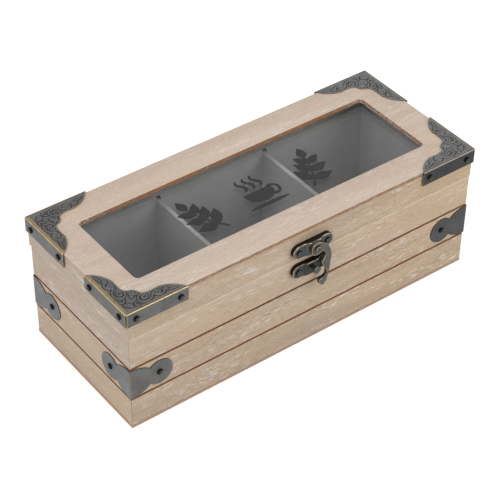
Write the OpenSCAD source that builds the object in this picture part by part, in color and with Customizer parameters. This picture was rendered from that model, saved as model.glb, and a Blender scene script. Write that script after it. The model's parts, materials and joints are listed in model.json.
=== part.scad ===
// Slatted wooden box with three compartments under a glazed, hinged lid, closed by a swing hook.
// Millimetres. The origin is the middle of the underside, +X right along the front, +Y back, +Z up.

/* [Body] */
// Length of the wooden body along X
body_l = 238; // [200:1:300]
// Depth of the wooden body along Y
body_w = 96; // [84:1:130]
// Height of the body from the table to the lid seam
body_h = 64.3; // [60:0.1:80]
// Thickness of the bottom board
bottom_t = 2; // [1.5:0.1:4]
// Thickness of the outer slats
slat_t = 3.5; // [3.4:0.1:5]
// Height of the upper and middle slats; the lower one takes what is left
slat_h = 20.4; // [19.6:0.1:21]
// Height of the shadow groove between two slats
groove_h = 1.2; // [0.8:0.1:2]
// Depth of the shadow groove
groove_d = 1.4; // [0.8:0.1:2]
// Thickness of the inner liner boards
liner_t = 2.5; // [2.2:0.1:4]

/* [Dividers] */
// Thickness of the two divider boards
divider_t = 2.6; // [2:0.1:4]
// How far the dividers stop below the rim
divider_drop = 2.3; // [1:0.1:10]
// Depth of the slots that hold the dividers
slot_d = 1.5; // [1:0.1:1.8]
// Clearance on each side of a divider in its slot
slot_gap = 0.1; // [0.05:0.05:0.3]

/* [Lid] */
// How far the lid stands proud of the body on each side
lid_over = 0.5; // [0.2:0.1:1]
// How far back the lid sits from the middle of the body
lid_shift = 0.6; // [0:0.1:1]
// Height of the lid's rails
rail_h = 15.9; // [14.5:0.1:20]
// Thickness of the lid's rails
rail_t = 6; // [5.5:0.1:8]
// Thickness of the top panel
panel_t = 3; // [2:0.1:5]
// Length of the window
window_l = 200; // [100:1:210]
// Width of the window
window_w = 57.6; // [30:0.1:62]
// Radius of the window's corners
window_r = 3; // [1:0.1:10]
// Thickness of the glass
glass_t = 2; // [1.5:0.1:3]
// Width of the rebate that the glass lies in
rebate_w = 2.4; // [1.5:0.1:2.5]
// Clearance around the glass
glass_gap = 0.3; // [0.1:0.05:0.5]

/* [Corner fittings] */
// Thickness of the sheet metal
metal_t = 0.5; // [0.4:0.05:0.8]
// Play between the lid and the side flanges of its corners
corner_play = 0.7; // [0.1:0.05:1]
// Length of each leg of a lid corner
corner_leg = 39.5; // [34:0.5:45]
// Width of a lid corner's leg on the top face
corner_band = 9.6; // [7:0.1:11]
// Where the inner curve of a lid corner meets its diagonal
corner_bump = 14.5; // [13:0.1:17]
// Height of a lid corner's side flange
flange_h = 9.3; // [7:0.1:12]
// Open corner between the two flanges
flange_slit = 0.7; // [0.6:0.05:1.2]
// Distance of the first flange screw from the corner
flange_screw_a = 6.5; // [5.5:0.1:9]
// Distance of the second flange screw from the corner
flange_screw_b = 34.5; // [28:0.1:36]
// Radius of the round eye at the end of a strap leg
strap_eye_r = 8.3; // [6:0.1:9]
// Distance of the eye's centre from the corner
strap_eye_x = 19.2; // [17:0.1:22]
// Radius of the strap's curved shoulders
strap_curve_r = 17; // [15:0.5:22]

/* [Screws] */
// Radius of the pan heads on the corner fittings
pan_r = 1.85; // [1.5:0.05:2.2]
// Height of the pan heads
pan_h = 1.3; // [0.9:0.1:1.6]
// Radius of the low heads on the latch plates
low_r = 1.9; // [1.5:0.05:2.2]
// Height of the low heads
low_h = 0.8; // [0.5:0.05:0.8]
// Radius of the heads on the hinge leaves
hinge_screw_r = 1.5; // [1.2:0.05:1.7]
// Radius of every screw's shank
shank_r = 0.8; // [0.6:0.05:0.9]
// How far a shank reaches into the wood
shank_bite = 2.4; // [1.5:0.1:2.6]
// Clearance around a shank in its pilot hole
pilot_gap = 0.06; // [0.05:0.01:0.15]

/* [Latch] */
// Length of each latch plate
plate_l = 27.5; // [26:0.1:32]
// Height of each latch plate
plate_w = 8.6; // [8:0.1:9.4]
// Thickness of each latch plate at its screws
plate_t = 2.8; // [2:0.1:3.5]
// Chamfer around the face of a latch plate
plate_bevel = 0.3; // [0.2:0.1:0.8]
// Distance of each plate screw from the plate's middle
plate_screw_x = 9.8; // [9.5:0.1:11]
// Distance of both plates to the right of the box's middle
plate_x = 0.8; // [-5:0.1:5]
// Height of the upper plate's middle above the seam
plate_rise = 6.7; // [6:0.1:8]
// Pivot's distance to the right of the upper plate's middle
pivot_x = 0.2; // [0:0.1:1]
// Height of the pivot and of the catch post above the middles of their plates
pivot_lift = 0.4; // [0:0.1:0.6]
// Radius of the pivot's shaft
pivot_r = 1.5; // [1.2:0.05:1.8]
// Running clearance of the hook on its pivot
pivot_gap = 0.06; // [0.03:0.01:0.1]
// Radius of the pivot's head
pivot_head_r = 2.1; // [1.9:0.1:2.8]
// Length of the raised middle of each plate
ridge_l = 7; // [5:0.1:8]
// Length of the slope at each end of the raised middle
ridge_slope = 2.6; // [1:0.1:3]
// Height of the raised middle above its plate
ridge_h = 1.2; // [0.85:0.05:1.6]
// Thickness of the hook
hook_t = 2.4; // [1.5:0.1:3]
// Gap between the hook and what lies behind and before it
hook_gap = 0.1; // [0.05:0.05:0.3]
// Radius of the ring around the hook's pivot
hook_ring_r = 4.3; // [3.8:0.1:5]
// Turn of the hook at rest from straight down, just off its catch
hook_rest = 3.5; // [3.5:0.5:8]
// Distance from the pivot down to the catch post
catch_drop = 13.8; // [13:0.1:14.5]
// Catch post's distance to the left of the pivot
catch_shift = 0.9; // [0.8:0.1:1.5]
// Radius of the catch post's shaft
post_r = 1.3; // [1:0.05:1.5]
// Radius of the catch post's head
post_head_r = 2.4; // [1.8:0.1:2.4]
// Thickness of the catch post's head
post_head_h = 1.2; // [0.8:0.1:1.6]
// Gap between the hook and the catch post's head behind which it slides
post_gap = 0.3; // [0.2:0.05:0.6]

/* [Hinges] */
// Gap along the back between a hinge and the lid's corner fitting
hinge_inset = 6; // [2:0.5:20]
// Width of a hinge
hinge_w = 22; // [18:1:30]
// Height of each hinge leaf
leaf_h = 9.5; // [8:0.1:11]
// Thickness of a hinge leaf
leaf_t = 0.8; // [0.6:0.05:1]
// Radius of the hinge barrel
barrel_r = 1.8; // [1.6:0.05:2.2]
// Radius of the hinge pin
hinge_pin_r = 1; // [0.8:0.05:1.1]
// Running clearance between pin and knuckles
hinge_gap = 0.05; // [0.03:0.01:0.1]
// Gap between neighbouring knuckles
knuckle_gap = 0.2; // [0.1:0.05:0.4]
// Gap between the barrel and the lid's back face
barrel_gap = 0.3; // [0.3:0.05:0.6]
// Distance of each hinge screw from the hinge's middle
hinge_screw_x = 6.5; // [5:0.1:7.5]

/* [Hidden] */

$fn = 48;
eps = 0.01;
wood_color = "burlywood";
lid_color = "bisque";
grey_color = "dimgray";
bronze_color = "darkslategray";

// Sides of the box as turns about Z from the front
FRONT = 0;
RIGHT = 90;
BACK = 180;
LEFT = 270;

// The lid
lid_l = body_l + 2 * lid_over;
lid_w = body_w + 2 * lid_over;
panel_z = body_h + rail_h;
top_z = panel_z + panel_t;
glass_z = panel_z - glass_t;
corner_out = metal_t + corner_play;
flange_screw_z = top_z + metal_t - 0.55 * flange_h;

// The inside of the body
wall_t = slat_t + liner_t;
inner_l = body_l - 2 * wall_t;
inner_w = body_w - 2 * wall_t;
cell_l = (inner_l - 2 * divider_t) / 3;
divider_x = (cell_l + divider_t) / 2;
slot_w = divider_t + 2 * slot_gap;

// Underside and top of each course of slats: 0 lower, 1 middle, 2 upper
function slat_z0(course) =
    course == 0 ? bottom_t : body_h - (3 - course) * slat_h - (2 - course) * groove_h;
function slat_z1(course) =
    course == 2 ? body_h : slat_z0(course + 1) - groove_h;
strap_z = (slat_z0(1) + slat_z1(1)) / 2;

// The latch, with depths counted outwards from the lid's front face
pivot_z = body_h + plate_rise + pivot_lift;
post_x = pivot_x - catch_shift;
post_z = pivot_z - catch_drop;
catch_d = lid_shift - lid_over;
hook_d = plate_t + ridge_h + hook_gap;
hook_face_d = hook_d + hook_t;
pivot_head_h = 1;
pilot_r = shank_r + pilot_gap;
pilot_spare = 0.3;
pilot_l = shank_bite + pilot_spare;

// The hinges, whose webs stop short of the axis
web_gap = 0.1;
hinge_y = lid_w / 2 + lid_shift + barrel_gap + barrel_r;
leaf_start = barrel_r - web_gap;
pin_head_t = 0.6;
pin_head_r = hinge_pin_r + 0.4;
hinge_x = lid_l / 2 + corner_out - corner_leg - hinge_inset - hinge_w / 2;
knuckle_l = (hinge_w - 2 * knuckle_gap) / 3;
leaf_screw_z = leaf_start + leaf_h / 2;

// Smooth closed curve through the given points
function smooth(p, steps) = [
    for (i = [0 : len(p) - 1], k = [0 : steps - 1])
        let (
            t = k / steps,
            a = p[(i + len(p) - 1) % len(p)],
            b = p[i],
            c = p[(i + 1) % len(p)],
            d = p[(i + 2) % len(p)]
        )
        0.5 * (2 * b + (c - a) * t + (2 * a - 5 * b + 4 * c - d) * t * t
            + (3 * b - a - 3 * c + d) * t * t * t)
];

// Quadratic curve from a to c, pulled towards b, without its last point
function bend(a, b, c, steps) = [
    for (k = [0 : steps - 1])
        let (t = k / steps)
        (1 - t) * (1 - t) * a + 2 * t * (1 - t) * b + t * t * c
];

function swap(p) = [for (i = [len(p) - 1 : -1 : 0]) [p[i][1], p[i][0]]];

// Half of a lid corner's inner outline, from the leg's tip to the diagonal
corner_half = concat(
    bend([corner_leg, 0], [corner_leg - 4.2, corner_band - 1.8], [corner_leg - 12.5, corner_band], 8),
    bend([corner_leg - 12.5, corner_band], [corner_leg - 17, corner_band - 0.3],
        [corner_bump + 5.5, corner_band - 0.1], 3),
    bend([corner_bump + 5.5, corner_band - 0.1], [corner_bump + 1.7, corner_band + 0.3],
        [corner_bump + 1.1, corner_bump - 1.6], 5),
    [[corner_bump + 1.1, corner_bump - 1.6], [corner_bump + 0.4, corner_bump - 0.2]]
);
corner_outline = concat([[0, 0]], corner_half, swap(corner_half));

// The hook's arm, seen from the front with the pivot at [0, 0]
hook_arm = [
    [0, 4.2], [5.4, 1.4], [8.4, -3], [9.5, -8],
    [8.7, -catch_drop], [7.3, -catch_drop - 7.5], [5.2, -catch_drop - 13],
    [2.9, -catch_drop - 14.7], [1, -catch_drop - 13], [0.5, -catch_drop - 10.2],
    [2.2, -catch_drop - 9.3], [4.9, -catch_drop - 8.6], [5.9, -catch_drop - 6.4],
    [5.4, -catch_drop - 3.5], [4.1, -catch_drop - 1.1], [2.6, -catch_drop + 2.1],
    [4.2, -catch_drop + 4.2], [5.3, -7], [4.8, -4.4], [2.4, -3.3], [-0.5, -2.5]
];

// Puts children, drawn around the middle of the body, where the lid sits
module on_lid() {
    translate([0, lid_shift, 0]) children();
}

// Turns children drawn in front view so that they grow outwards from depth d before the lid's front
module on_front(d) {
    on_lid() translate([0, -lid_w / 2 - d, 0]) rotate([90, 0, 0]) children();
}

// Puts children, drawn at the front, on one side of a box of length l and width w
module at_side(side, l, w) {
    rotate([0, 0, side]) translate([0, -(side % 180 == 0 ? w : l) / 2, 0]) children();
}

// Puts children, drawn in the front left corner, in the corner given by two signs
module at_corner(sx, sy, l, w) {
    translate([sx * l / 2, sy * w / 2, 0])
        mirror([sx > 0 ? 1 : 0, 0, 0])
            mirror([0, sy > 0 ? 1 : 0, 0]) children();
}

// Pan head screw along +Z: its seat is at 0 and its shank goes down
module screw(head_r, head_h, shank_l) {
    dome_h = 0.6 * head_h;
    dome_r = (head_r * head_r + dome_h * dome_h) / (2 * dome_h);
    slot_l = 1.3 * head_r;
    slot_t = 0.24 * head_r;
    slot_depth = 0.55 * head_h;
    difference() {
        intersection() {
            translate([0, 0, head_h - dome_r]) sphere(dome_r);
            cylinder(r = head_r, h = 2 * head_h);
        }
        for (turn = [0, 90])
            rotate([0, 0, turn + 20])
                translate([-slot_l / 2, -slot_t / 2, head_h - slot_depth])
                    cube([slot_l, slot_t, 2 * slot_depth]);
    }
    translate([0, 0, -shank_l]) cylinder(r = shank_r, h = shank_l + 0.3 * head_h, $fn = 24);
}

// Pilot hole along -Z from a wood face at 0
module pilot() {
    translate([0, 0, -pilot_l]) cylinder(r = pilot_r, h = pilot_l + 2 * metal_t, $fn = 24);
}

// Board with mitred ends, drawn at the front with its face at y = 0
module mitred_board(length, inset, thick, z0, z1) {
    translate([0, 0, z0])
        linear_extrude(z1 - z0)
            polygon([
                [-length / 2 + inset, inset], [length / 2 - inset, inset],
                [length / 2 - thick, thick], [-length / 2 + thick, thick]
            ]);
}

// One slat with the tongue that forms the groove under it
module slat(side, course) {
    length = side % 180 == 0 ? body_l : body_w;
    difference() {
        at_side(side, body_l, body_w) {
            mitred_board(length, 0, slat_t, slat_z0(course), slat_z1(course));
            if (course > 0)
                mitred_board(length, groove_d, slat_t, slat_z0(course) - groove_h, slat_z0(course));
        }
        if (course == 1)
            at_side(side, body_l, body_w)
                for (s = [-1, 1])
                    translate([s * (length / 2 + metal_t - strap_eye_x), 0, strap_z])
                        rotate([90, 0, 0]) pilot();
        if (course == 2 && side == FRONT)
            for (s = [-1, 1])
                translate([plate_x + s * plate_screw_x, -body_w / 2, post_z - pivot_lift])
                    rotate([90, 0, 0]) pilot();
        if (course == 2 && side == BACK)
            for (h = [-hinge_x, hinge_x], s = [-1, 1])
                translate([h + s * hinge_screw_x, body_w / 2, body_h - leaf_screw_z])
                    rotate([-90, 0, 0]) pilot();
    }
}

module bottom_board() {
    color(wood_color)
        translate([-body_l / 2, -body_w / 2, 0]) cube([body_l, body_w, bottom_t]);
}

module front_lower_slat() { color(wood_color) slat(FRONT, 0); }
module front_middle_slat() { color(wood_color) slat(FRONT, 1); }
module front_upper_slat() { color(wood_color) slat(FRONT, 2); }
module back_lower_slat() { color(wood_color) slat(BACK, 0); }
module back_middle_slat() { color(wood_color) slat(BACK, 1); }
module back_upper_slat() { color(wood_color) slat(BACK, 2); }
module left_lower_slat() { color(wood_color) slat(LEFT, 0); }
module left_middle_slat() { color(wood_color) slat(LEFT, 1); }
module left_upper_slat() { color(wood_color) slat(LEFT, 2); }
module right_lower_slat() { color(wood_color) slat(RIGHT, 0); }
module right_middle_slat() { color(wood_color) slat(RIGHT, 1); }
module right_upper_slat() { color(wood_color) slat(RIGHT, 2); }

// Long liner with the slots for both dividers, drawn at the front
module long_liner() {
    length = body_l - 2 * slat_t;
    height = body_h - bottom_t;
    translate([-length / 2, slat_t, bottom_t])
        difference() {
            cube([length, liner_t, height]);
            for (s = [-1, 1])
                translate([length / 2 + s * divider_x - slot_w / 2, liner_t - slot_d, -1])
                    cube([slot_w, slot_d + 1, height + 2]);
        }
}

module short_liner() {
    translate([-inner_w / 2, slat_t, bottom_t]) cube([inner_w, liner_t, body_h - bottom_t]);
}

module front_liner() { color(grey_color) at_side(FRONT, body_l, body_w) long_liner(); }
module back_liner() { color(grey_color) at_side(BACK, body_l, body_w) long_liner(); }
module left_liner() { color(grey_color) at_side(LEFT, body_l, body_w) short_liner(); }
module right_liner() { color(grey_color) at_side(RIGHT, body_l, body_w) short_liner(); }

module divider(s) {
    width = inner_w + 2 * slot_d - 2 * slot_gap;
    translate([s * divider_x - divider_t / 2, -width / 2, bottom_t])
        cube([divider_t, width, body_h - bottom_t - divider_drop]);
}

module left_divider() { color(grey_color) divider(-1); }
module right_divider() { color(grey_color) divider(1); }

// Outline of one strap leg, with the corner at [0, 0]
module strap_leg_outline() {
    shoulder = strap_curve_r - slat_h / 2;
    intersection() {
        translate([0, -slat_h / 2]) square([strap_eye_x, slat_h]);
        translate([1.5, -shoulder]) circle(strap_curve_r, $fn = 96);
        translate([1.5, shoulder]) circle(strap_curve_r, $fn = 96);
    }
    translate([strap_eye_x, 0]) circle(strap_eye_r);
}

// One strap leg on the front, its corner at x = 0 and its outer face at y = 0
module strap_leg() {
    difference() {
        translate([0, metal_t, 0]) rotate([90, 0, 0]) linear_extrude(metal_t) strap_leg_outline();
        translate([strap_eye_x, metal_t + 1, 0])
            rotate([90, 0, 0]) cylinder(r = pilot_r, h = metal_t + 2, $fn = 24);
    }
}

// Middle corner strap, folded round the corner
module strap() {
    translate([0, 0, strap_z]) {
        strap_leg();
        mirror([1, -1, 0]) strap_leg();
    }
}

module strap_at(sx, sy) {
    color(bronze_color) at_corner(sx, sy, body_l + 2 * metal_t, body_w + 2 * metal_t) strap();
}

module front_left_strap() { strap_at(-1, -1); }
module front_right_strap() { strap_at(1, -1); }
module back_left_strap() { strap_at(-1, 1); }
module back_right_strap() { strap_at(1, 1); }

// A pan head screw on each leg of a corner fitting that stands out from the wood,
// at distance a and height z
module leg_screws(a, z, out) {
    translate([a, 0, z]) rotate([90, 0, 0]) screw(pan_r, pan_h, out + shank_bite);
    translate([0, a, z]) rotate([0, -90, 0]) screw(pan_r, pan_h, out + shank_bite);
}

module strap_screws() {
    color(bronze_color)
        for (sx = [-1, 1], sy = [-1, 1])
            at_corner(sx, sy, body_l + 2 * metal_t, body_w + 2 * metal_t)
                leg_screws(strap_eye_x, strap_z, metal_t);
}

// Plate with round ends and a chamfered face, its middle at the origin and its back at z = 0
module latch_base() {
    end_x = (plate_l - plate_w) / 2;
    half = plate_w / 2;
    flat_h = plate_t - plate_bevel;
    for (s = [-1, 1])
        translate([s * end_x, 0, 0]) {
            cylinder(r = half, h = flat_h);
            translate([0, 0, flat_h]) cylinder(r1 = half, r2 = half - plate_bevel, h = plate_bevel);
        }
    rotate([90, 0, 90])
        translate([0, 0, -end_x])
            linear_extrude(2 * end_x)
                polygon([
                    [-half, 0], [half, 0], [half, flat_h],
                    [half - plate_bevel, plate_t], [plate_bevel - half, plate_t], [-half, flat_h]
                ]);
}

// Raised middle of a latch plate around bx, with a slope at each end and chamfered long edges
module ridge(bx, rise) {
    half = plate_w / 2;
    top = plate_t + rise;
    flat_end = ridge_l / 2;
    intersection() {
        translate([0, half, 0])
            rotate([90, 0, 0])
                linear_extrude(plate_w)
                    polygon([
                        [bx - flat_end - ridge_slope, 0], [bx + flat_end + ridge_slope, 0],
                        [bx + flat_end + ridge_slope, plate_t - plate_bevel],
                        [bx + flat_end, top], [bx - flat_end, top],
                        [bx - flat_end - ridge_slope, plate_t - plate_bevel]
                    ]);
        rotate([90, 0, 90])
            linear_extrude(plate_l, center = true)
                polygon([
                    [-half, 0], [half, 0], [half, top - plate_bevel],
                    [half - plate_bevel, top], [plate_bevel - half, top], [-half, top - plate_bevel]
                ]);
    }
}

// Latch plate with its screw holes, and with a raised middle and a bore at bx, pivot_lift
module latch_plate_form(bx, bore_r, rise) {
    difference() {
        union() {
            latch_base();
            ridge(bx, rise);
        }
        for (s = [-1, 1])
            translate([s * plate_screw_x, 0, -1]) cylinder(r = pilot_r, h = plate_t + 2, $fn = 24);
        translate([bx, pivot_lift, -1]) cylinder(r = bore_r, h = plate_t + rise + 2);
    }
}

module plate_screws(d, z) {
    color(bronze_color)
        on_front(d)
            for (s = [-1, 1])
                translate([plate_x + s * plate_screw_x, z - pivot_lift, plate_t])
                    screw(low_r, low_h, plate_t + shank_bite);
}

// Pin of length shaft_l with a head, on the front at x from the plates' middle
module headed_pin(d, x, z, shaft_r, shaft_l, head_r, head_h) {
    color(bronze_color)
        on_front(d)
            translate([plate_x + x, z, 0]) {
                cylinder(r = shaft_r, h = shaft_l + eps);
                translate([0, 0, shaft_l]) cylinder(r = head_r, h = head_h);
            }
}

module catch_plate() {
    color(bronze_color)
        on_front(catch_d)
            translate([plate_x, post_z - pivot_lift, 0])
                latch_plate_form(post_x, post_r + pilot_gap, ridge_h - catch_d);
}

module catch_post() {
    headed_pin(catch_d, post_x, post_z, post_r, hook_face_d - catch_d + post_gap,
        post_head_r, post_head_h);
}

module catch_plate_screws() { plate_screws(catch_d, post_z); }

// Knuckle along X, from x0, with its web down to a leaf whose back face is at y
module knuckle(x0, y, z_sign) {
    difference() {
        union() {
            translate([x0, hinge_y, body_h]) rotate([0, 90, 0]) cylinder(r = barrel_r, h = knuckle_l);
            translate([x0, y, body_h + (z_sign > 0 ? web_gap : -leaf_start - eps)])
                cube([knuckle_l, hinge_y - y, leaf_start - web_gap + eps]);
        }
        translate([x0 - 1, hinge_y, body_h])
            rotate([0, 90, 0]) cylinder(r = hinge_pin_r + hinge_gap, h = knuckle_l + 2);
    }
}

// Hinge leaf whose back face is at y, above the axis where z_sign is 1 and below it where it is -1
module hinge_leaf(side_x, y, z_sign) {
    step = knuckle_l + knuckle_gap;
    left_x = side_x - hinge_w / 2;
    color(bronze_color) {
        difference() {
            translate([left_x, y, body_h + (z_sign > 0 ? leaf_start : -leaf_start - leaf_h)])
                cube([hinge_w, leaf_t, leaf_h]);
            for (s = [-1, 1])
                translate([side_x + s * hinge_screw_x, y - 1, body_h + z_sign * leaf_screw_z])
                    rotate([-90, 0, 0]) cylinder(r = pilot_r, h = leaf_t + 2, $fn = 24);
        }
        if (z_sign > 0) {
            knuckle(left_x + step, y, z_sign);
        } else {
            knuckle(left_x, y, z_sign);
            knuckle(left_x + 2 * step, y, z_sign);
        }
    }
}

module left_hinge_body_leaf() { hinge_leaf(-hinge_x, body_w / 2, -1); }
module right_hinge_body_leaf() { hinge_leaf(hinge_x, body_w / 2, -1); }

module hinge_pin(side_x) {
    color(bronze_color)
        translate([side_x - hinge_w / 2, hinge_y, body_h]) rotate([0, 90, 0]) {
            translate([0, 0, -knuckle_gap - eps])
                cylinder(r = hinge_pin_r, h = hinge_w + 2 * knuckle_gap + 2 * eps);
            for (z = [-knuckle_gap - pin_head_t, hinge_w + knuckle_gap])
                translate([0, 0, z]) cylinder(r = pin_head_r, h = pin_head_t);
        }
}

module left_hinge_pin() { hinge_pin(-hinge_x); }
module right_hinge_pin() { hinge_pin(hinge_x); }

module hinge_screws(y, z) {
    color(bronze_color)
        for (h = [-hinge_x, hinge_x], s = [-1, 1])
            translate([h + s * hinge_screw_x, y + leaf_t, z])
                rotate([-90, 0, 0]) screw(hinge_screw_r, low_h, leaf_t + shank_bite);
}

module hinge_body_screws() { hinge_screws(body_w / 2, body_h - leaf_screw_z); }

module window_outline() {
    inner_x = window_l - 2 * window_r;
    inner_y = window_w - 2 * window_r;
    square([inner_x, window_w], center = true);
    square([window_l, inner_y], center = true);
    for (sx = [-1, 1], sy = [-1, 1])
        translate([sx * inner_x / 2, sy * inner_y / 2]) circle(window_r);
}

module lid_panel() {
    color(lid_color)
        translate([0, lid_shift, panel_z])
            difference() {
                translate([-lid_l / 2, -lid_w / 2, 0]) cube([lid_l, lid_w, panel_t]);
                translate([0, 0, -1]) linear_extrude(panel_t + 2) window_outline();
            }
}

// Rail of the lid, with its rebate for the glass and its pilot holes
module rail(side) {
    length = side % 180 == 0 ? lid_l : lid_w;
    on_lid() difference() {
        at_side(side, lid_l, lid_w) mitred_board(length, 0, rail_t, body_h, panel_z);
        translate([-lid_l / 2 + rail_t - rebate_w, -lid_w / 2 + rail_t - rebate_w, glass_z])
            cube([lid_l - 2 * (rail_t - rebate_w), lid_w - 2 * (rail_t - rebate_w), glass_t + 1]);
        at_side(side, lid_l, lid_w)
            for (s = [-1, 1], a = [flange_screw_a, flange_screw_b])
                translate([s * (length / 2 + corner_out - a), 0, flange_screw_z])
                    rotate([90, 0, 0]) pilot();
        if (side == FRONT)
            for (s = [-1, 1])
                translate([plate_x + s * plate_screw_x, -lid_w / 2, pivot_z - pivot_lift])
                    rotate([90, 0, 0]) pilot();
        if (side == BACK)
            for (h = [-hinge_x, hinge_x], s = [-1, 1])
                translate([h + s * hinge_screw_x, lid_w / 2, body_h + leaf_screw_z])
                    rotate([-90, 0, 0]) pilot();
    }
}

module lid_front_rail() { color(lid_color) rail(FRONT); }
module lid_back_rail() { color(lid_color) rail(BACK); }
module lid_left_rail() { color(lid_color) rail(LEFT); }
module lid_right_rail() { color(lid_color) rail(RIGHT); }

module glass_pane() {
    length = lid_l - 2 * (rail_t - rebate_w + glass_gap);
    width = lid_w - 2 * (rail_t - rebate_w + glass_gap);
    color("lightblue", 0.4)
        on_lid() translate([-length / 2, -width / 2, glass_z]) cube([length, width, glass_t]);
}

// Side flange of a lid corner, on the front with the corner at x = 0
module flange() {
    difference() {
        translate([flange_slit, 0, top_z + metal_t - flange_h])
            cube([corner_leg - flange_slit, metal_t, flange_h]);
        for (a = [flange_screw_a, flange_screw_b])
            translate([a, metal_t + 1, flange_screw_z])
                rotate([90, 0, 0]) cylinder(r = pilot_r, h = metal_t + 2, $fn = 24);
    }
}

module lid_corner(sx, sy) {
    color(bronze_color)
        on_lid() at_corner(sx, sy, lid_l + 2 * corner_out, lid_w + 2 * corner_out) {
            translate([0, 0, top_z]) linear_extrude(metal_t) polygon(corner_outline);
            flange();
            mirror([1, -1, 0]) flange();
        }
}

module front_left_corner() { lid_corner(-1, -1); }
module front_right_corner() { lid_corner(1, -1); }
module back_left_corner() { lid_corner(-1, 1); }
module back_right_corner() { lid_corner(1, 1); }

module corner_screws() {
    color(bronze_color)
        for (sx = [-1, 1], sy = [-1, 1], a = [flange_screw_a, flange_screw_b])
            on_lid() at_corner(sx, sy, lid_l + 2 * corner_out, lid_w + 2 * corner_out)
                leg_screws(a, flange_screw_z, corner_out);
}

module latch_plate() {
    color(bronze_color)
        on_front(0)
            translate([plate_x, pivot_z - pivot_lift, 0])
                latch_plate_form(pivot_x, pivot_r + pilot_gap, ridge_h);
}

module latch_pivot() {
    headed_pin(0, pivot_x, pivot_z, pivot_r, hook_face_d + hook_gap, pivot_head_r, pivot_head_h);
}

module latch_plate_screws() { plate_screws(0, pivot_z); }

module left_hinge_lid_leaf() { hinge_leaf(-hinge_x, lid_w / 2 + lid_shift, 1); }
module right_hinge_lid_leaf() { hinge_leaf(hinge_x, lid_w / 2 + lid_shift, 1); }
module hinge_lid_screws() { hinge_screws(lid_w / 2 + lid_shift, body_h + leaf_screw_z); }

module latch_hook() {
    color(bronze_color)
        on_front(hook_d)
            translate([plate_x + pivot_x, pivot_z, 0])
                rotate([0, 0, hook_rest])
                    difference() {
                        union() {
                            cylinder(r = hook_ring_r, h = hook_t);
                            linear_extrude(hook_t) polygon(smooth(hook_arm, 5));
                        }
                        translate([0, 0, -1]) cylinder(r = pivot_r + pivot_gap, h = hook_t + 2);
                    }
}

bottom_board();
front_lower_slat();
front_middle_slat();
front_upper_slat();
back_lower_slat();
back_middle_slat();
back_upper_slat();
left_lower_slat();
left_middle_slat();
left_upper_slat();
right_lower_slat();
right_middle_slat();
right_upper_slat();
front_liner();
back_liner();
left_liner();
right_liner();
left_divider();
right_divider();
front_left_strap();
front_right_strap();
back_left_strap();
back_right_strap();
strap_screws();
catch_plate();
catch_post();
catch_plate_screws();
left_hinge_body_leaf();
right_hinge_body_leaf();
left_hinge_pin();
right_hinge_pin();
hinge_body_screws();
lid_panel();
lid_front_rail();
lid_back_rail();
lid_left_rail();
lid_right_rail();
glass_pane();
front_left_corner();
front_right_corner();
back_left_corner();
back_right_corner();
corner_screws();
latch_plate();
latch_pivot();
latch_plate_screws();
left_hinge_lid_leaf();
right_hinge_lid_leaf();
hinge_lid_screws();
latch_hook();
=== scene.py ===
"""Looks of a slatted wooden box with a glazed lid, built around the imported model."""

import json
import math

import bmesh
import bpy
import numpy as np
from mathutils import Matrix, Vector
from mathutils.geometry import delaunay_2d_cdt

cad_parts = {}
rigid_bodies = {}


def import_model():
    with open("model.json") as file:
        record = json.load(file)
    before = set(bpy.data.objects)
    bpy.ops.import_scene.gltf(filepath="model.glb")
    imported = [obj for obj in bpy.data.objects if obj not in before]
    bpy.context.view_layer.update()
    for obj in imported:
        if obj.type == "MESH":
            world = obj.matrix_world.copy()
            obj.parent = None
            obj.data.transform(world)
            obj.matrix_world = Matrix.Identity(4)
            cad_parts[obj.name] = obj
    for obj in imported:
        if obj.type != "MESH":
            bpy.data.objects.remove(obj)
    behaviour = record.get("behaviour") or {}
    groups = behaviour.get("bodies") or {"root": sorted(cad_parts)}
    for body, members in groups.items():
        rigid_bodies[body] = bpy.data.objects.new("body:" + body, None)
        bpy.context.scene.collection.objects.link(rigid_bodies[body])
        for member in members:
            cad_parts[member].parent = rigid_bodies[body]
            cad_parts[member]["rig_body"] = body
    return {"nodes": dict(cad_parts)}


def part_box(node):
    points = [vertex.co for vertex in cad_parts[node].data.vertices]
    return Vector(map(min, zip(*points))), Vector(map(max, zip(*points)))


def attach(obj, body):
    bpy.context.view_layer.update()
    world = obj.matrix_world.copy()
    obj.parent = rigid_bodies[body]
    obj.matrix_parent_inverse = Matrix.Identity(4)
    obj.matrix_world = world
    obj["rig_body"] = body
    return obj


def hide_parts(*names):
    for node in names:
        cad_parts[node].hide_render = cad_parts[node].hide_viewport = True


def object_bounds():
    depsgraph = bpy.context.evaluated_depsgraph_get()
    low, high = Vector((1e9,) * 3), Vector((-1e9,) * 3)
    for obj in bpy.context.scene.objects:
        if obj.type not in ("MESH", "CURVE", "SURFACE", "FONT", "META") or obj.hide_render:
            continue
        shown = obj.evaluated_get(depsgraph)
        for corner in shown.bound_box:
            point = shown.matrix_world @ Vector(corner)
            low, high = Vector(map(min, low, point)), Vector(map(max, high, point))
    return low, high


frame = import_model()
CAD_LOW, CAD_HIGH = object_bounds()

# Lengths are in metres, and MM turns millimetres into them
MM = 0.001

# Camera: where it stands, how it is turned in degrees, and its lens in millimetres
CAMERA_PLACE = (-0.458547, -0.592467, 0.666476)
CAMERA_TURN = (49.8326, -0.6729, -36.9285)
CAMERA_LENS = 122.284

# Light that the world sheds, and what the camera and mirrors see of it
WORLD_LIGHT = 0.5
WORLD_SEEN = 1.0
# Glow that keeps the floor white where it is seen
FLOOR_GLOW = 0.58
# Lamps: name, place, width, power in watts
LAMPS = (
    ("top_softbox", (0.1, -0.1, 1.5), 1.4, 5.7),
    ("front_softbox", (0.75, -1.35, 0.9), 1.2, 8.8),
    ("left_softbox", (-1.6, -0.3, 0.8), 1.2, 8.0),
)

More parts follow.
